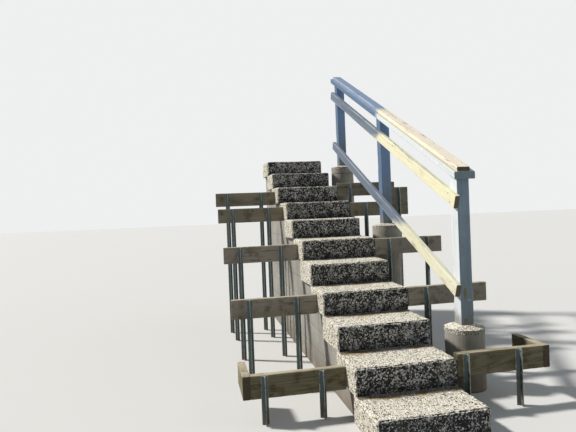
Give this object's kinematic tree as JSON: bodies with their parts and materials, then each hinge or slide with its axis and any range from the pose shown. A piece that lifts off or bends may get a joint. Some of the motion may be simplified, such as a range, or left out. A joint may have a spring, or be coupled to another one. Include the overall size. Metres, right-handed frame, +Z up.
{
  "type": "outdoor stone steps",
  "caption": "Straight garden stair of exposed-aggregate concrete step blocks, with a raked timber handrail and staked timber edging boards.",
  "frame": {"origin": "middle of the first riser's foot, on the lowest ground", "axes": "+X across the flight to the handrail side, +Y up the flight, +Z up"},
  "size_m": [2.06, 3.95, 3.0796],
  "materials": {
    "exposed_aggregate": "matte",
    "foundation_concrete": "matte",
    "footing_concrete": "matte",
    "painted_timber": "matte",
    "handrail_timber": "matte",
    "side_rail_timber": "matte",
    "sawn_pine": "matte",
    "stake_steel": "matte"
  },
  "bodies": {
    "root": {"foundation": "foundation_concrete", "handrail_board": "painted_timber", "handrail_cap": "handrail_timber", "mid_rail": "side_rail_timber", "lower_rail": "side_rail_timber", "step_01": "exposed_aggregate", "step_02": "exposed_aggregate", "step_03": "exposed_aggregate", "step_04": "exposed_aggregate", "step_05": "exposed_aggregate", "step_06": "exposed_aggregate", "step_07": "exposed_aggregate", "step_08": "exposed_aggregate", "step_09": "exposed_aggregate", "step_10": "exposed_aggregate", "step_11": "exposed_aggregate", "post_1": "painted_timber", "post_2": "painted_timber", "post_3": "painted_timber", "footing_1": "footing_concrete", "footing_2": "footing_concrete", "footing_3": "footing_concrete", "edging_02_left": "sawn_pine", "edging_02_right": "sawn_pine", "edging_04_left": "sawn_pine", "edging_04_right": "sawn_pine", "edging_06_left": "sawn_pine", "edging_06_right": "sawn_pine", "edging_08_left": "sawn_pine", "edging_08_right": "sawn_pine", "edging_09_left": "sawn_pine", "edging_09_right": "sawn_pine", "edging_upper_right": "sawn_pine", "return_left": "sawn_pine", "return_right": "sawn_pine", "stakes_02": "stake_steel", "stakes_04": "stake_steel", "stakes_06": "stake_steel", "stakes_08": "stake_steel", "stakes_09": "stake_steel"}
  },
  "joints": []
}
